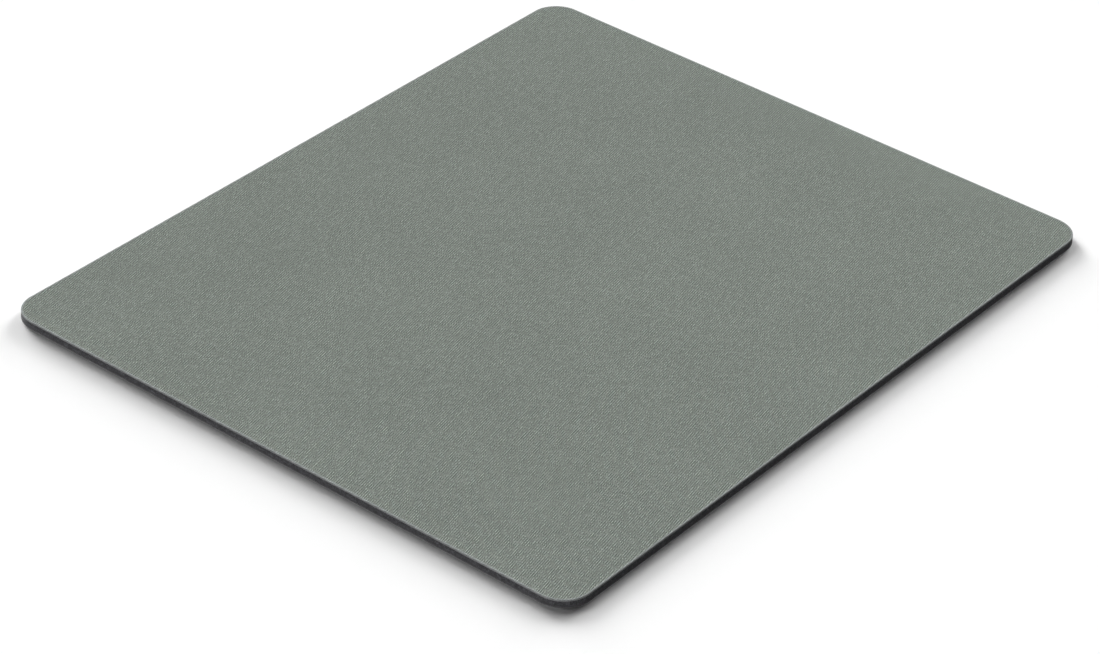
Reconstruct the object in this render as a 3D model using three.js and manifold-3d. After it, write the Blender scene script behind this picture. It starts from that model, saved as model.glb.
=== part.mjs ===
// Desk mouse pad: knit cloth bonded to a soft foam sheet, with a grooved anti-slip skin below.
// Sizes are in millimetres, +Z is up, and the origin is the middle of the underside.
// One die cuts all the layers together, so they share one outline and one rounded wall.

import * as THREE from "three";
import { mergeVertices } from "three/addons/utils/BufferGeometryUtils.js";
import Module from "manifold-3d";

// Outline, measured at the foot of the wall
const padLength = 240; // along X
const padWidth = 200; // along Y
const cornerRadius = 9; // in plan
const cornerSteps = 14; // facets in each rounded corner

// Layers, from the underside up
const grooveDepth = 0.25; // anti-slip grooves in the rubber skin that grips the desk
const skinFloor = 0.15; // rubber left above the grooves
const foamThickness = 1.6; // closed-cell foam sheet
const filmThickness = 0.1; // bonding film
const clothThickness = 0.4; // knit cloth that the mouse runs on

// Cut wall
const wallLean = 0.1; // how far the top of the film stands in from the foot
const wallSteps = 6; // rings up the foam's wall

// Rim of the cloth, which the die presses down and rounds over
const cutEdge = 0.15; // height of the cut face left below the rounding
const rimWidth = 0.7; // how far in from the cut face the surface is level again
const rimSteps = 5; // rings over the rounding

// Chevrons that the anti-slip grooves follow
const chevronPitch = 5; // from one groove to the next, along Y
const chevronRun = 15; // from one bend of a groove to the next, along X
const chevronRise = 6; // how far a groove swings in Y between two bends
const grooveWidth = 1.6; // across the groove
const grooveBorder = 5; // plain border between the grooves and the foot of the wall
const grooveFieldRadius = 4; // rounded corners of the grooved field

// Heights of the faces where the layers meet
const skinTop = grooveDepth + skinFloor;
const foamTop = skinTop + foamThickness;
const filmTop = foamTop + filmThickness;

const wasm = await Module();
wasm.setup();

// Rectangle about the origin with four rounded corners.
function roundedRectangle(length, width, radius) {
  const shape = new THREE.Shape();
  const quarterTurn = Math.PI / 2;
  const alongX = length / 2 - radius;
  const alongY = width / 2 - radius;
  const centres = [
    [alongX, -alongY],
    [alongX, alongY],
    [-alongX, alongY],
    [-alongX, -alongY],
  ];
  centres.forEach(([x, y], corner) => {
    const start = (corner - 1) * quarterTurn;
    shape.absarc(x, y, radius, start, start + quarterTurn);
  });
  return shape;
}

// Moves a point of the outline straight inwards. The corners keep their centres.
function drawIn(point, inset) {
  const cornerCentre = new THREE.Vector2(padLength / 2 - cornerRadius, padWidth / 2 - cornerRadius);
  const anchor = point.clone().clamp(cornerCentre.clone().negate(), cornerCentre);
  const outwards = point.clone().sub(anchor).normalize();
  return point.addScaledVector(outwards, -inset);
}

// A layer is a stack of rings from its lower face to its upper one.
// Each ring is the outline, drawn in by the ring's inset, at the ring's height.
function layerGeometry(rings) {
  const steps = rings.length - 1;
  const outline = roundedRectangle(padLength, padWidth, cornerRadius);
  const geometry = new THREE.ExtrudeGeometry(outline, {
    depth: steps,
    steps,
    curveSegments: cornerSteps / 2, // an arc gets two facets for each segment
    bevelEnabled: false,
  });
  const position = geometry.getAttribute("position");
  for (let i = 0; i < position.count; i += 1) {
    const ring = rings[Math.round(position.getZ(i))];
    const point = drawIn(new THREE.Vector2(position.getX(i), position.getY(i)), ring.inset);
    position.setXYZ(i, point.x, point.y, ring.height);
  }
  geometry.computeVertexNormals();
  return geometry;
}

// The wall stands upright at its foot and rounds in more and more towards the cloth.
function wallRing(height) {
  return { height, inset: wallLean * (height / filmTop) ** 2 };
}

// Above its cut face the cloth's rim follows a quarter of an ellipse.
function clothGeometry() {
  const rimRise = clothThickness - cutEdge;
  const rings = [wallRing(filmTop)];
  for (let step = 0; step <= rimSteps; step += 1) {
    const angle = (step / rimSteps) * (Math.PI / 2);
    rings.push({
      height: filmTop + cutEdge + rimRise * Math.sin(angle),
      inset: wallLean + rimWidth * (1 - Math.cos(angle)),
    });
  }
  return layerGeometry(rings);
}

function filmGeometry() {
  return layerGeometry([wallRing(foamTop), wallRing(filmTop)]);
}

function foamGeometry() {
  const rings = [];
  for (let step = 0; step <= wallSteps; step += 1) {
    rings.push(wallRing(skinTop + (foamThickness * step) / wallSteps));
  }
  return layerGeometry(rings);
}

// The skin's lower face is cut by the chevron grooves, inside a plain border.
function skinGeometry() {
  const skin = toSolid(layerGeometry([wallRing(0), wallRing(skinTop)]));
  const field = toSolid(
    grooveCutter(
      roundedRectangle(padLength - 2 * grooveBorder, padWidth - 2 * grooveBorder, grooveFieldRadius)
    )
  );
  const grooves = chevronShapes().map((shape) => toSolid(grooveCutter(shape)));
  return toGeometry(skin.subtract(wasm.Manifold.union(grooves).intersect(field)));
}

// A zigzag band for each groove. A land, not a groove, lies over the origin.
function chevronShapes() {
  const bends = Math.ceil(padLength / 2 / chevronRun);
  const lines = Math.ceil((padWidth / 2 + chevronRise) / chevronPitch);
  const slant = Math.atan2(chevronRise, chevronRun);
  const halfBand = grooveWidth / 2 / Math.cos(slant);
  const shapes = [];
  for (let line = -lines; line < lines; line += 1) {
    const upper = [];
    const lower = [];
    for (let bend = -bends; bend <= bends; bend += 1) {
      const x = bend * chevronRun;
      const y = (line + 0.5) * chevronPitch - Math.abs(bend % 2) * chevronRise;
      upper.push(new THREE.Vector2(x, y + halfBand));
      lower.push(new THREE.Vector2(x, y - halfBand));
    }
    shapes.push(new THREE.Shape(lower.concat(upper.reverse())));
  }
  return shapes;
}

// Prism that reaches one groove depth above and below the underside.
function grooveCutter(shape) {
  const geometry = new THREE.ExtrudeGeometry(shape, {
    depth: 2 * grooveDepth,
    curveSegments: cornerSteps / 2,
    bevelEnabled: false,
  });
  return geometry.translate(0, 0, -grooveDepth);
}

function toSolid(geometry) {
  geometry.deleteAttribute("normal");
  geometry.deleteAttribute("uv");
  const merged = mergeVertices(geometry);
  const vertProperties = merged.getAttribute("position").array;
  const triVerts = Uint32Array.from(merged.getIndex().array);
  return new wasm.Manifold(new wasm.Mesh({ numProp: 3, vertProperties, triVerts }));
}

function toGeometry(solid) {
  const mesh = solid.getMesh();
  const geometry = new THREE.BufferGeometry();
  geometry.setAttribute("position", new THREE.BufferAttribute(mesh.vertProperties, 3));
  geometry.setIndex(new THREE.BufferAttribute(mesh.triVerts, 1));
  geometry.computeVertexNormals();
  return geometry;
}

function addLayer(group, name, geometry, color, roughness) {
  const material = new THREE.MeshStandardMaterial({ color, roughness, metalness: 0 });
  const layer = new THREE.Mesh(geometry, material);
  layer.name = name;
  group.add(layer);
}

const mousePad = new THREE.Group();
mousePad.name = "mouse_pad";
addLayer(mousePad, "grip_skin", skinGeometry(), "#2e2e30", 0.85);
addLayer(mousePad, "foam_core", foamGeometry(), "#414144", 0.95);
addLayer(mousePad, "bond_film", filmGeometry(), "#6d7073", 0.5);
addLayer(mousePad, "cloth_top", clothGeometry(), "#7f867f", 0.95);

export default mousePad;
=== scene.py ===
# Mouse pad on a white floor: ribbed knit cloth, bonding film, dark foam and a grooved rubber underside
import math

import bmesh
import bpy
from mathutils import Matrix, Vector, noise


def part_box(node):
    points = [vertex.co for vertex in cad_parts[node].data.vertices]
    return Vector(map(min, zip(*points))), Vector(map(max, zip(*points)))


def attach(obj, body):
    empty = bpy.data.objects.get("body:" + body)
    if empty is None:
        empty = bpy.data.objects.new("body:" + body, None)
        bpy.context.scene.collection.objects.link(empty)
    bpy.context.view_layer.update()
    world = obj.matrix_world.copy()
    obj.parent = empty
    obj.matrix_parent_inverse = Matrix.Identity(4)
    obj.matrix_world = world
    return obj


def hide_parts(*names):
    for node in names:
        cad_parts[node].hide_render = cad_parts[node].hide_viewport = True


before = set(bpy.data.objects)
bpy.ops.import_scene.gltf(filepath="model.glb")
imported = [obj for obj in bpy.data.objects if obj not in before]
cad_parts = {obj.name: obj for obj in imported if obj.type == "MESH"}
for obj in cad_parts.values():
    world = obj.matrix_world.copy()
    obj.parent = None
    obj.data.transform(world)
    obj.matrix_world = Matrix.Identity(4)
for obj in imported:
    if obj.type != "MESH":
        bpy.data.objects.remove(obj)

mm = 0.001
cutTolerance = 1e-8  # points this close to a cut lie on it
levelNormal = 0.999  # faces that point up or down more than this are level
noiseLow, noiseHigh = 0.3, 0.7  # most of a noise texture lies between these
noiseRoughness = 0.6  # the same in every noise texture

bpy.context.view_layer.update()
skinLow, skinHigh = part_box("grip_skin")
foamLow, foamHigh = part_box("foam_core")
filmLow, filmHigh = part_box("bond_film")
clothLow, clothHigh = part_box("cloth_top")

# the outline at the foot of the wall, which every layer shares
padOutline = {
    "halfLength": skinHigh.x,
    "halfWidth": skinHigh.y,
    "cornerRadius": 9 * mm,
    "cornerSteps": 16,
    "wallLean": skinHigh.x - clothHigh.x,  # how far the cloth's cut face stands in from the foot
}


# Outline helpers

def cornerCentre():
    radius = padOutline["cornerRadius"]
    return padOutline["halfLength"] - radius, padOutline["halfWidth"] - radius


def outwards(point):
    # level direction from the inside of the pad to the nearest stretch of wall
    farX, farY = cornerCentre()
    anchor = Vector((max(-farX, min(farX, point.x)), max(-farY, min(farY, point.y)), point.z))
    return (point - anchor).normalized()


def wallInset(height):
    # upright at the foot, rounded in towards the cloth
    return padOutline["wallLean"] * min(1, height / filmHigh.z) ** 2


def vertsOf(geom):
    return [g for g in geom if isinstance(g, bmesh.types.BMVert)]


def openEdges(geom):
    return [g for g in geom if isinstance(g, bmesh.types.BMEdge) and g.is_boundary]


def outlineLoop(bm, inset, height, longestEdge):
    # a circle whose four quarters are pulled apart into the corners, with the long sides divided
    segments = 4 * padOutline["cornerSteps"]
    halfStep = math.pi / segments
    radius = (padOutline["cornerRadius"] - inset) / math.cos(halfStep)
    farX, farY = cornerCentre()
    turned = Matrix.Translation((0, 0, height)) @ Matrix.Rotation(halfStep, 4, "Z")
    ring = bmesh.ops.create_circle(bm, segments=segments, radius=radius, matrix=turned)
    for v in ring["verts"]:
        v.co.x += math.copysign(farX, v.co.x)
        v.co.y += math.copysign(farY, v.co.y)
    for e in [e for e in bm.edges if e.calc_length() > padOutline["cornerRadius"]]:
        bmesh.ops.subdivide_edges(bm, edges=[e], cuts=int(e.calc_length() / longestEdge))
    return bm.edges[:]


def raiseLoop(bm, edges, height):
    # extrudes an open loop up the wall to a height
    base = edges[0].verts[0].co.z
    made = bmesh.ops.extrude_edge_only(bm, edges=edges)["geom"]
    for v in vertsOf(made):
        v.co -= outwards(v.co) * (wallInset(height) - wallInset(base))
        v.co.z = height
    return openEdges(made)


def cutAlong(bm, halfLength, halfWidth, radius, clear):
    # cuts a level sheet along a rounded rectangle: the four sides, then the facets of each corner
    farX, farY = halfLength - radius, halfWidth - radius
    steps = padOutline["cornerSteps"]
    for away in (Vector((1, 0, 0)), Vector((0, 1, 0)), Vector((-1, 0, 0)), Vector((0, -1, 0))):
        reach = Vector((away.x * halfLength, away.y * halfWidth, 0))
        bmesh.ops.bisect_plane(
            bm, geom=bm.verts[:] + bm.edges[:] + bm.faces[:], dist=cutTolerance,
            plane_co=reach, plane_no=away, clear_outer=clear)
    for signX, signY in ((1, 1), (-1, 1), (-1, -1), (1, -1)):
        centre = Vector((signX * farX, signY * farY, 0))
        for step in range(steps):
            angle = (step + 0.5) * math.pi / 2 / steps
            away = Vector((signX * math.cos(angle), signY * math.sin(angle), 0))
            near = [v for v in bm.verts if v.co.x * signX > farX and v.co.y * signY > farY]
            faces = {f for v in near for f in v.link_faces}
            edges = {e for f in faces for e in f.edges}
            verts = {v for f in faces for v in f.verts}
            bmesh.ops.bisect_plane(
                bm, geom=list(verts) + list(edges) + list(faces), dist=cutTolerance,
                plane_co=centre + away * radius, plane_no=away, clear_outer=clear)


def roughen(bm, look):
    # a die-cut wall is a little uneven: slow waves along it and grain on it, never past the outline
    for v in bm.verts:
        grain = noise.noise(v.co * look["grainScale"]) - 1
        wave = noise.noise(v.co * look["waveScale"]) - 1
        v.co += outwards(v.co) * (look["grain"] * grain + look["wave"] * wave) / 2


def keepPiece(bm, name, node, material, sharpDegrees):
    bmesh.ops.recalc_face_normals(bm, faces=bm.faces[:])
    mesh = bpy.data.meshes.new(name)
    bm.to_mesh(mesh)
    bm.free()
    mesh.set_sharp_from_angle(angle=math.radians(sharpDegrees))
    for face in mesh.polygons:
        face.use_smooth = abs(face.normal.z) < levelNormal  # level faces stay flat
    mesh.materials.append(material)
    piece = bpy.data.objects.new(name, mesh)
    bpy.context.scene.collection.objects.link(piece)
    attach(piece, "root")
    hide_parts(node)
    print(name, "made,", sum(len(face.vertices) - 2 for face in mesh.polygons), "triangles")
    return piece


# Node helpers

def startMaterial(name):
    material = bpy.data.materials.new(name)
    material.use_nodes = True
    return material, material.node_tree, material.node_tree.nodes["Principled BSDF"]


def plug(tree, socket, value):
    # a socket takes a link or a plain value
    if isinstance(value, bpy.types.NodeSocket):
        tree.links.new(value, socket)
    elif value is not None:
        socket.default_value = value


def mathNode(tree, operation, a, b=None, c=None):
    node = tree.nodes.new("ShaderNodeMath")
    node.operation = operation
    for socket, value in zip(node.inputs, (a, b, c)):
        plug(tree, socket, value)
    return node.outputs[0]


def humps(tree, count):
    # one rounded hump from 0 to 1 and back for each step of a count
    wave = mathNode(tree, "SINE", mathNode(tree, "MULTIPLY", count, math.pi))
    return mathNode(tree, "ABSOLUTE", wave)


def mixColour(tree, factor, a, b):
    node = tree.nodes.new("ShaderNodeMix")
    node.data_type = "RGBA"
    plug(tree, node.inputs["Factor"], factor)
    plug(tree, next(s for s in node.inputs if s.name == "A" and s.type == "RGBA"), a)
    plug(tree, next(s for s in node.inputs if s.name == "B" and s.type == "RGBA"), b)
    return next(s for s in node.outputs if s.type == "RGBA")


def scaleColour(tree, colour, amount):
    node = tree.nodes.new("ShaderNodeVectorMath")
    node.operation = "SCALE"
    plug(tree, node.inputs[0], colour)
    plug(tree, node.inputs["Scale"], amount)
    return node.outputs[0]


def noiseNode(tree, vector, scale, detail):
    node = tree.nodes.new("ShaderNodeTexNoise")
    plug(tree, node.inputs["Vector"], vector)
    plug(tree, node.inputs["Scale"], scale)
    plug(tree, node.inputs["Detail"], detail)
    node.inputs["Roughness"].default_value = noiseRoughness
    return node.outputs["Fac"]


def bumpNode(tree, height, strength, distance):
    node = tree.nodes.new("ShaderNodeBump")
    plug(tree, node.inputs["Height"], height)
    plug(tree, node.inputs["Strength"], strength)
    plug(tree, node.inputs["Distance"], distance)
    return node.outputs["Normal"]


def spread(tree, value, fromLow, fromHigh, toLow, toHigh):
    # maps a value from one range to another
    node = tree.nodes.new("ShaderNodeMapRange")
    plug(tree, node.inputs["Value"], value)
    node.inputs["From Min"].default_value = fromLow
    node.inputs["From Max"].default_value = fromHigh
    node.inputs["To Min"].default_value = toLow
    node.inputs["To Max"].default_value = toHigh
    return node.outputs["Result"]


def objectPoint(tree):
    return tree.nodes.new("ShaderNodeTexCoord").outputs["Object"]


# Cut grain: a broken grain that the foam, the film and the rubber share

cutGrain = {
    "mottleDetail": 4,
    "depth": (0.4, 1.7),  # how deep the cells are where the mottle is low and where it is high
    "middle": 0.5,  # the height whose shade is 1
}


def makeGrainGroup():
    # puts out a shade about 1, and a height from about 0 to 1
    look = cutGrain
    group = bpy.data.node_groups.new("cutGrain", "ShaderNodeTree")
    for name in ("Cell Scale", "Mottle Scale", "Contrast"):
        group.interface.new_socket(name, in_out="INPUT", socket_type="NodeSocketFloat")
    for name in ("Shade", "Height"):
        group.interface.new_socket(name, in_out="OUTPUT", socket_type="NodeSocketFloat")
    inside = group.nodes.new("NodeGroupInput")
    outside = group.nodes.new("NodeGroupOutput")
    point = objectPoint(group)
    cells = group.nodes.new("ShaderNodeTexVoronoi")
    plug(group, cells.inputs["Vector"], point)
    plug(group, cells.inputs["Scale"], inside.outputs["Cell Scale"])
    mottle = noiseNode(group, point, inside.outputs["Mottle Scale"], look["mottleDetail"])
    depth = spread(group, mottle, noiseLow, noiseHigh, *look["depth"])
    height = mathNode(group, "MULTIPLY", cells.outputs["Distance"], depth)
    offMiddle = mathNode(group, "SUBTRACT", height, look["middle"])
    shade = mathNode(group, "MULTIPLY_ADD", offMiddle, inside.outputs["Contrast"], 1)
    plug(group, outside.inputs["Shade"], shade)
    plug(group, outside.inputs["Height"], height)
    return group


grainGroup = makeGrainGroup()


def grainMaterial(name, look):
    # the foam, the film and the rubber differ in the values of their dictionaries
    material, tree, shader = startMaterial(name)
    grain = tree.nodes.new("ShaderNodeGroup")
    grain.node_tree = grainGroup
    grain.inputs["Cell Scale"].default_value = look["cellScale"]
    grain.inputs["Mottle Scale"].default_value = look["mottleScale"]
    grain.inputs["Contrast"].default_value = look["contrast"]
    height = grain.outputs["Height"]
    plug(tree, shader.inputs["Base Color"], scaleColour(tree, look["colour"], grain.outputs["Shade"]))
    plug(tree, shader.inputs["Roughness"], spread(tree, height, 0, 1, *look["roughness"]))
    plug(tree, shader.inputs["Normal"], bumpNode(tree, height, look["bumpStrength"], look["bumpDepth"]))
    shader.inputs["Specular IOR Level"].default_value = look["specular"]
    return material


# Camera at the photo's angle

photoCamera = {
    "place": (-731.5 * mm, -561.73 * mm, 603.8 * mm),
    "lookAt": (-24.83 * mm, -16.62 * mm, 2.5 * mm),
    "rollDegrees": 2.758,  # the right-hand side of the picture is tipped up by this
    "lens": 126.736,
    "sensor": 36.0,
}


def addCamera():
    place, target = Vector(photoCamera["place"]), Vector(photoCamera["lookAt"])
    data = bpy.data.cameras.new("photoCamera")
    data.lens = photoCamera["lens"]
    data.sensor_width = photoCamera["sensor"]
    camera = bpy.data.objects.new("photoCamera", data)
    bpy.context.scene.collection.objects.link(camera)
    level = (target - place).to_track_quat("-Z", "Y").to_matrix().to_4x4()
    roll = Matrix.Rotation(math.radians(photoCamera["rollDegrees"]), 4, "Z")
    camera.matrix_world = Matrix.Translation(place) @ level @ roll
    bpy.context.scene.camera = camera


addCamera()
print("camera set")


# Floor and light: white floor, soft low light from behind, level light on the walls in front

studio = {
    "floorSize": 6.0,
    "floorGap": 0.02 * mm,
    "floorColour": (0.98, 0.98, 0.98, 1),
    "domeStrength": 0.01,
    # name, where the light comes from (degrees from +X, degrees up), width in degrees, strength
    "lamps": (
        ("rightLow", 12, 9.7, 26, 4.6),
        ("rightHigh", 19, 20, 36, 0.7),
        ("rightEdge", -1, 13.6, 25, 0.48),
        ("backLow", 64, 10.2, 25, 6.35),
        ("backHigh", 62, 30, 35, 1.6),
        ("leftSoft", 116, 27, 24, 0.5),
        ("leftFill", 187, -0.5, 2, 3.3),  # level with the floor, so that only the walls catch it
        ("frontFill", 250, -0.5, 2, 0.47),
        ("underside", 90, -48, 12, 4.2),  # for looking at the rubber from below
    ),
}


def addFloor():
    material, tree, shader = startMaterial("floorWhite")
    shader.inputs["Base Color"].default_value = studio["floorColour"]
    shader.inputs["Roughness"].default_value = 1.0
    shader.inputs["Specular IOR Level"].default_value = 0.0
    # the floor shows only from above
    clear = tree.nodes.new("ShaderNodeBsdfTransparent")
    behind = tree.nodes.new("ShaderNodeNewGeometry").outputs["Backfacing"]
    mix = tree.nodes.new("ShaderNodeMixShader")
    tree.links.new(behind, mix.inputs[0])
    tree.links.new(shader.outputs["BSDF"], mix.inputs[1])
    tree.links.new(clear.outputs["BSDF"], mix.inputs[2])
    tree.links.new(mix.outputs["Shader"], tree.nodes["Material Output"].inputs["Surface"])
    bm = bmesh.new()
    # a hair below the rubber, so that the two faces never fight
    lowered = Matrix.Translation((0, 0, -studio["floorGap"]))
    bmesh.ops.create_grid(bm, x_segments=4, y_segments=4, size=studio["floorSize"] / 2, matrix=lowered)
    mesh = bpy.data.meshes.new("floor")
    bm.to_mesh(mesh)
    bm.free()
    mesh.materials.append(material)
    floor = bpy.data.objects.new("floor", mesh)
    bpy.context.scene.collection.objects.link(floor)
    floor.visible_shadow = False  # light from below reaches the underside


def addLight():
    world = bpy.data.worlds.new("whiteRoom")
    bpy.context.scene.world = world
    world.use_nodes = True
    tree = world.node_tree
    sky = tree.nodes["Background"]
    sky.inputs["Color"].default_value = (1, 1, 1, 1)
    path = tree.nodes.new("ShaderNodeLightPath")
    seen = mathNode(tree, "MAXIMUM", path.outputs["Is Camera Ray"], path.outputs["Is Glossy Ray"])
    seen = mathNode(tree, "MAXIMUM", seen, path.outputs["Is Transmission Ray"])
    plug(tree, sky.inputs["Strength"], spread(tree, seen, 0, 1, studio["domeStrength"], 1))
    for name, bearing, rise, width, strength in studio["lamps"]:
        data = bpy.data.lights.new(name, "SUN")
        data.energy = strength
        data.angle = math.radians(width)
        lamp = bpy.data.objects.new(name, data)
        bpy.context.scene.collection.objects.link(lamp)
        bearing, rise = math.radians(bearing), math.radians(rise)
        level = math.cos(rise)
        source = Vector((math.cos(bearing) * level, math.sin(bearing) * level, math.sin(rise)))
        lamp.matrix_world = source.to_track_quat("Z", "Y").to_matrix().to_4x4()


addFloor()
addLight()
bpy.context.scene.view_settings.view_transform = "Standard"
print("floor and light set")


# Knit cloth: slanted ribs as real relief, with the rim pressed over by the die

knitCloth = {
    # ribs
    "ribPitch": 0.6496 * mm,
    "ribSlantDegrees": 10.38,  # from the long side, turned towards the far left corner
    "ribDrift": (-311, -83, 552),  # an uneven knit: ribs gained per square metre over XX, XY and YY
    "ribDepth": 0.11 * mm,
    "pointsPerRib": 4,
    "stretchLength": 5.5 * mm,  # length of one face along a rib
    "stitchPitch": 0.55 * mm,  # one loop of yarn along a rib
    "spareWidth": 3 * mm,  # knit past the outline, for the drift and the waver
    "waver": 0.1 * mm,  # how far a rib strays sideways
    "waverScale": 60.0,
    "sharpDegrees": 60,
    # rim
    "cutEdge": 0.27 * mm,  # cut face below the rounding
    "rimWidth": 0.7 * mm,
    "rimSteps": 6,
    "rimPower": 8,  # higher keeps the rim level closer to the cut
    "rimFlatten": 0.25,  # share of the ribs' depth that is left at the cut
    "cutFoot": 2,  # where the cut face ends, counted in rims: the rim ends and the cut begins at 1
    # colours
    "colour": (0.335, 0.375, 0.334, 1),
    # painted shade: the valleys between the ribs are coloured darker than their tops, partly the dark base
    # between the wales
    "valleyShadeColour": (0.044, 0.051, 0.045, 1),
    # the rim's pale colour: partly the cut yarn's own paler, bluer colour, partly a painted highlight
    # along the edge
    "rimPaleAndHighlight": (0.308, 0.328, 0.325),
    "cutColour": (0.09, 0.092, 0.092, 1),
    # yarn: pairs give the least and the most
    "loopLean": 0.45,  # how far a loop leans from the middle of a rib to its side, in loops
    "loopShade": (0.91, 1.18),  # from loop to loop
    "palePower": 2,  # higher makes pale loops rarer
    "loopGapShade": (0.55, 1.21),  # painted shade, from the gap between two loops to the middle of a loop
    "loopBold": (-0.25, 1.4),  # how far a loop's colour stands out of the painted valley shade
    "boldSeed": 1000,  # sets the chance of the bold loops apart from that of the shades
    "crest": (0.25, 0.95),  # heights on a rib where the valley ends and the top begins
    "ridgeMiddle": 0.56,
    "cloudScale": 22,
    "cloudDetail": 4,
    "cloudShade": (0.965, 1.035),
    "rimHighlightReach": (0.5, 0.9),  # how far out the rim's pale colour and painted highlight is full, and how much of it shows there
    "rimCrest": (0.2, 0.9),
    "rimShade": (0.85, 1.05),  # painted shade, from the valleys to the tops of the ribs on the rim, partly the dark base between the wales
    "rimDarkening": (0.6, 0.65),  # how far out the yarn darkens, and its shade at the cut
    "cutFade": 0.25,  # how far down the cut face the yarn's colour fades
    # surface
    "fuzzScale": 9000,
    "fuzzDetail": 2,
    "fuzzHeight": 0.6,  # beside a loop's height of 1
    "bumpStrength": 0.5,
    "bumpDepth": 0.04 * mm,
    "roughness": (0.85, 1.0),
    "specular": 0.05,
}


def ribHeight(ribCount):
    return abs(math.sin(math.pi * ribCount))


def knitDirections():
    # level directions along a rib and across it
    slant = math.radians(knitCloth["ribSlantDegrees"])
    return Vector((math.cos(slant), math.sin(slant), 0)), Vector((-math.sin(slant), math.cos(slant), 0))


def clothSheet(bm):
    # level grid of ribs, larger than the pad, then turned to the knit's slant
    look = knitCloth
    slant = math.radians(look["ribSlantDegrees"])
    length, width = padOutline["halfLength"], padOutline["halfWidth"]
    halfAlong = length * math.cos(slant) + width * math.sin(slant) + look["stretchLength"]
    halfAcross = length * math.sin(slant) + width * math.cos(slant) + look["spareWidth"]
    ribs = math.ceil(halfAcross / look["ribPitch"])
    stretches = math.ceil(2 * halfAlong / look["stretchLength"])
    size = Matrix.Diagonal((2 * halfAlong, 2 * ribs * look["ribPitch"], 1, 1))
    knit = bm.verts.layers.float_vector.new("knit")
    bmesh.ops.create_grid(
        bm, x_segments=stretches, y_segments=2 * ribs * look["pointsPerRib"], size=0.5, matrix=size)
    for v in bm.verts:
        ribCount = v.co.y / look["ribPitch"]
        v[knit] = (ribCount, v.co.x / look["stitchPitch"], 0)
        v.co.z = clothHigh.z - look["ribDepth"] * (1 - ribHeight(ribCount))
    bmesh.ops.rotate(bm, verts=bm.verts[:], cent=(0, 0, 0), matrix=Matrix.Rotation(slant, 3, "Z"))
    across = knitDirections()[1]
    driftXX, driftXY, driftYY = look["ribDrift"]
    for v in bm.verts:
        x, y = v.co.x, v.co.y
        drift = (driftXX * x * x / 2 + driftXY * x * y + driftYY * y * y / 2) * look["ribPitch"]
        v.co += across * (drift + look["waver"] * noise.noise(v.co * look["waverScale"]))
    return knit


def rollRim(bm, knit):
    # the rim goes out and rolls over close to the cut, then straight down to the film
    look = knitCloth
    along, across = knitDirections()
    rise = clothHigh.z - clothLow.z - look["cutEdge"]
    loop = [e for e in bm.edges if e.is_boundary]
    before = 0.0
    for step in range(1, look["rimSteps"] + 1):
        share = step / look["rimSteps"]
        out = look["rimWidth"] * share
        drop = rise * share ** look["rimPower"]
        relief = look["ribDepth"] * (1 - (1 - look["rimFlatten"]) * share)
        made = bmesh.ops.extrude_edge_only(bm, edges=loop)["geom"]
        for v in vertsOf(made):
            move = outwards(v.co) * (out - before)
            ribCount = v[knit].x + move.dot(across) / look["ribPitch"]
            stitchCount = v[knit].y + move.dot(along) / look["stitchPitch"]
            v[knit] = (ribCount, stitchCount, share)  # the knit runs on over the rim
            v.co += move
            v.co.z = clothHigh.z - drop - relief * (1 - ribHeight(ribCount))
        loop = openEdges(made)
        before = out
    made = bmesh.ops.extrude_edge_only(bm, edges=loop)["geom"]
    for v in vertsOf(made):
        v.co.z = clothLow.z
        v[knit] = (v[knit].x, v[knit].y, look["cutFoot"])
    bmesh.ops.contextual_create(bm, geom=openEdges(made))


def chanceNode(tree, ribCount, stitch):
    # one chance value from 0 to 1 for each loop of the knit
    cell = tree.nodes.new("ShaderNodeCombineXYZ")
    plug(tree, cell.inputs[0], mathNode(tree, "FLOOR", ribCount))
    plug(tree, cell.inputs[1], mathNode(tree, "FLOOR", stitch))
    chance = tree.nodes.new("ShaderNodeTexWhiteNoise")
    chance.noise_dimensions = "2D"
    tree.links.new(cell.outputs[0], chance.inputs["Vector"])
    return chance.outputs["Value"]


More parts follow.
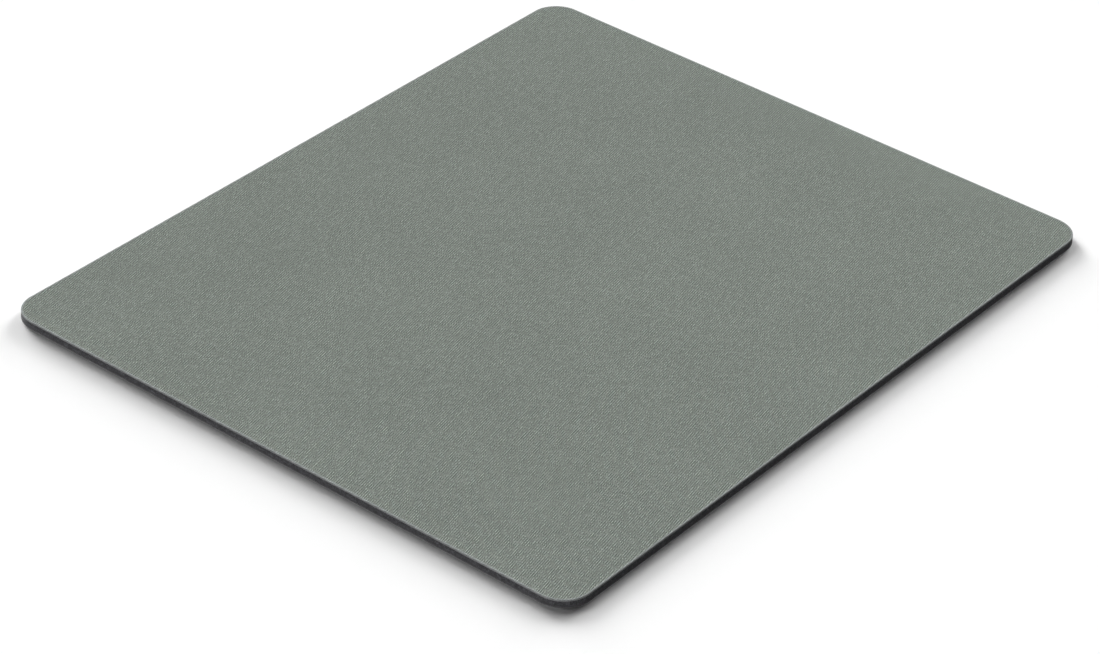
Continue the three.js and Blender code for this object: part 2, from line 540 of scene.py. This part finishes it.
def knitMaterial():
    look = knitCloth
    material, tree, shader = startMaterial("greyKnit")
    attribute = tree.nodes.new("ShaderNodeAttribute")
    attribute.attribute_name = "knit"
    split = tree.nodes.new("ShaderNodeSeparateXYZ")
    tree.links.new(attribute.outputs["Vector"], split.inputs[0])
    ribCount, stitchCount, rim = split.outputs
    point = objectPoint(tree)

    # loops of yarn lean both ways from the middle of a rib
    crest = humps(tree, ribCount)
    offMiddle = mathNode(tree, "SUBTRACT", mathNode(tree, "FRACT", ribCount), 0.5)
    lean = mathNode(tree, "MULTIPLY", mathNode(tree, "ABSOLUTE", offMiddle), look["loopLean"])
    stitch = mathNode(tree, "ADD", stitchCount, lean)
    loop = humps(tree, stitch)

    # every loop has its own shade, most of them near the middle and a few pale
    fewPale = mathNode(tree, "POWER", chanceNode(tree, ribCount, stitch), look["palePower"])
    loopShade = spread(tree, fewPale, 0, 1, *look["loopShade"])
    cloud = noiseNode(tree, point, look["cloudScale"], look["cloudDetail"])
    cloudShade = spread(tree, cloud, noiseLow, noiseHigh, *look["cloudShade"])
    shade = mathNode(tree, "MULTIPLY", loopShade, cloudShade)
    # painted shade in the gaps between the loops
    shade = mathNode(tree, "MULTIPLY", shade, spread(tree, loop, 0, 1, *look["loopGapShade"]))

    # and each differs in how far it stands out of the valleys, which are painted darker: painted shade
    # between the ribs, partly the dark base between the wales
    boldChance = chanceNode(tree, mathNode(tree, "ADD", ribCount, look["boldSeed"]), stitch)
    bold = spread(tree, boldChance, 0, 1, *look["loopBold"])
    ridge = mathNode(tree, "SUBTRACT", spread(tree, crest, *look["crest"], 0, 1), look["ridgeMiddle"])
    ridge = mathNode(tree, "MULTIPLY_ADD", ridge, bold, look["ridgeMiddle"])
    yarn = scaleColour(tree, mixColour(tree, ridge, look["valleyShadeColour"], look["colour"]), shade)

    # the rim is paler, partly its own colour and partly a painted highlight along the edge; its yarn gets
    # darker towards the cut, and its cut face is dark
    highlightFull, highlightShare = look["rimHighlightReach"]
    darkeningFrom, darkeningAtCut = look["rimDarkening"]
    # the valleys on the rim are painted darker too: painted shade
    rimShade = mathNode(tree, "MULTIPLY", shade, spread(tree, crest, *look["rimCrest"], *look["rimShade"]))
    # the rim's colour gets darker towards the cut
    rimShade = mathNode(tree, "MULTIPLY", rimShade, spread(tree, rim, darkeningFrom, 1, 1, darkeningAtCut))
    rimHighlightYarn = scaleColour(tree, look["rimPaleAndHighlight"], rimShade)
    yarn = mixColour(tree, spread(tree, rim, 0, highlightFull, 0, highlightShare), yarn, rimHighlightYarn)
    cut = spread(tree, rim, 1, 1 + look["cutFade"], 0, 1)
    plug(tree, shader.inputs["Base Color"], mixColour(tree, cut, yarn, look["cutColour"]))

    fuzz = noiseNode(tree, point, look["fuzzScale"], look["fuzzDetail"])
    height = mathNode(tree, "ADD", loop, mathNode(tree, "MULTIPLY", fuzz, look["fuzzHeight"]))
    plug(tree, shader.inputs["Normal"], bumpNode(tree, height, look["bumpStrength"], look["bumpDepth"]))
    plug(tree, shader.inputs["Roughness"], spread(tree, fuzz, noiseLow, noiseHigh, *look["roughness"]))
    shader.inputs["Specular IOR Level"].default_value = look["specular"]
    return material


def addCloth():
    look = knitCloth
    inset = padOutline["wallLean"] + look["rimWidth"]
    bm = bmesh.new()
    knit = clothSheet(bm)
    cutAlong(bm, padOutline["halfLength"] - inset, padOutline["halfWidth"] - inset,
             padOutline["cornerRadius"] - inset, True)
    rollRim(bm, knit)
    cloth = keepPiece(bm, "knitCloth", "cloth_top", knitMaterial(), look["sharpDegrees"])


addCloth()


# Bonding film: a thin satin line between cloth and foam

bondFilm = {
    "edgeLength": 0.8 * mm,
    "sharpDegrees": 40,
    "grain": 0.02 * mm,
    "grainScale": 1500.0,
    "wave": 0.06 * mm,
    "waveScale": 90.0,
    "colour": (0.16, 0.165, 0.17),
    "cellScale": 1800,
    "mottleScale": 500,
    "contrast": 0.5,
    "roughness": (0.4, 0.65),
    "bumpStrength": 0.3,
    "bumpDepth": 0.03 * mm,
    "specular": 0.5,
}


def addFilm():
    look = bondFilm
    bm = bmesh.new()
    loop = outlineLoop(bm, wallInset(filmLow.z), filmLow.z, look["edgeLength"])
    bmesh.ops.contextual_create(bm, geom=loop)
    loop = raiseLoop(bm, loop, filmHigh.z)
    bmesh.ops.contextual_create(bm, geom=loop)
    roughen(bm, look)
    filmSatin = grainMaterial("bondFilm", look)
    keepPiece(bm, "bondFilm", "bond_film", filmSatin, look["sharpDegrees"])


addFilm()


# Foam core: die-cut wall with a fine cell grain

foamSheet = {
    "edgeLength": 0.5 * mm,
    "wallRows": 7,
    "sharpDegrees": 50,
    "grain": 0.05 * mm,  # how far cells stand in from the cut
    "grainScale": 2100.0,
    "wave": 0.08 * mm,  # slow unevenness of the cut
    "waveScale": 60.0,
    "colour": (0.029, 0.0288, 0.031),
    "cellScale": 2600,
    "mottleScale": 800,
    "contrast": 1.5,
    "roughness": (0.8, 1.0),
    "bumpStrength": 0.7,
    "bumpDepth": 0.06 * mm,
    "specular": 0.1,
}


def addFoam():
    look = foamSheet
    bm = bmesh.new()
    loop = outlineLoop(bm, wallInset(foamLow.z), foamLow.z, look["edgeLength"])
    bmesh.ops.contextual_create(bm, geom=loop)
    for row in range(1, look["wallRows"] + 1):
        loop = raiseLoop(bm, loop, foamLow.z + (foamHigh.z - foamLow.z) * row / look["wallRows"])
    bmesh.ops.contextual_create(bm, geom=loop)
    roughen(bm, look)
    darkFoam = grainMaterial("darkFoam", look)
    foam = keepPiece(bm, "foamCore", "foam_core", darkFoam, look["sharpDegrees"])


addFoam()


# Rubber skin: chevron grooves pressed into the underside, inside a plain border

gripSkin = {
    "groovePitch": 5 * mm,
    "grooveRun": 15 * mm,  # from one bend to the next
    "grooveRise": 6 * mm,  # how far a groove swings between two bends
    "grooveWidth": 1.6 * mm,
    "grooveDepth": 0.25 * mm,
    "border": 5 * mm,
    "fieldRadius": 4 * mm,
    "mouthRound": 0.1 * mm,
    "levelSlack": 0.001 * mm,  # points lower than this are on the underside
    "edgeLength": 1.0 * mm,
    "sharpDegrees": 40,
    "colour": (0.028, 0.0278, 0.0295),
    "cellScale": 3200,
    "mottleScale": 300,
    "contrast": 0.45,
    "roughness": (0.6, 0.9),
    "bumpStrength": 0.4,
    "bumpDepth": 0.03 * mm,
    "specular": 0.35,
}


def grooveHalfBand():
    # half of a groove's width, measured along Y
    slant = math.atan2(gripSkin["grooveRise"], gripSkin["grooveRun"])
    return gripSkin["grooveWidth"] / 2 / math.cos(slant)


def chevronRows():
    # lower and upper side of every groove, where it crosses an even bend
    look = gripSkin
    halfBand = grooveHalfBand()
    lines = math.ceil((padOutline["halfWidth"] + look["grooveRise"]) / look["groovePitch"]) + 1
    middles = [(line + 0.5) * look["groovePitch"] for line in range(-lines, lines)]
    return [middle + side * halfBand for middle in middles for side in (-1, 1)]


def inGroove(point):
    look = gripSkin
    farX = padOutline["halfLength"] - look["border"] - look["fieldRadius"]
    farY = padOutline["halfWidth"] - look["border"] - look["fieldRadius"]
    beyond = Vector((max(0, abs(point.x) - farX), max(0, abs(point.y) - farY)))
    if beyond.length > look["fieldRadius"]:
        return False
    bend = abs(point.x) / look["grooveRun"] % 2
    level = (point.y + look["grooveRise"] * min(bend, 2 - bend)) / look["groovePitch"] % 1
    return abs(level - 0.5) * look["groovePitch"] < grooveHalfBand()


def atMouth(edge):
    # an edge of the underside that a groove's wall rises from
    slack = gripSkin["levelSlack"]
    if edge.is_boundary or max(v.co.z for v in edge.verts) >= slack:
        return False
    return any(v.co.z > slack for f in edge.link_faces for v in f.verts)


def addSkin():
    look = gripSkin
    bm = bmesh.new()
    rows = chevronRows()
    bends = math.ceil(padOutline["halfLength"] / look["grooveRun"]) + 1
    unit = Matrix.Diagonal((2 * bends, len(rows) - 1, 1, 1))
    bmesh.ops.create_grid(bm, x_segments=2 * bends, y_segments=len(rows) - 1, size=0.5, matrix=unit)
    for v in bm.verts:
        bend, row = round(v.co.x), round(v.co.y + (len(rows) - 1) / 2)
        v.co = (bend * look["grooveRun"], rows[row] - bend % 2 * look["grooveRise"], skinLow.z)
    cutAlong(bm, padOutline["halfLength"], padOutline["halfWidth"], padOutline["cornerRadius"], True)
    cutAlong(bm, padOutline["halfLength"] - look["border"], padOutline["halfWidth"] - look["border"],
             look["fieldRadius"], False)
    # grooves go up into the rubber, and their mouths are rounded
    grooves = [f for f in bm.faces if inGroove(f.calc_center_median())]
    made = bmesh.ops.extrude_face_region(bm, geom=grooves)["geom"]
    for v in vertsOf(made):
        v.co.z += look["grooveDepth"]
    bmesh.ops.delete(bm, geom=grooves, context="FACES")
    mouths = [e for e in bm.edges if atMouth(e)]
    bmesh.ops.bevel(bm, geom=mouths, offset=look["mouthRound"], offset_type="OFFSET", segments=2,
                    profile=0.5, affect="EDGES", material=-1)
    for e in [e for e in bm.edges if e.is_boundary]:
        bmesh.ops.subdivide_edges(bm, edges=[e], cuts=int(e.calc_length() / look["edgeLength"]))
    loop = raiseLoop(bm, [e for e in bm.edges if e.is_boundary], skinHigh.z)
    bmesh.ops.contextual_create(bm, geom=loop)
    blackRubber = grainMaterial("blackRubber", look)
    keepPiece(bm, "gripSkin", "grip_skin", blackRubber, look["sharpDegrees"])


addSkin()
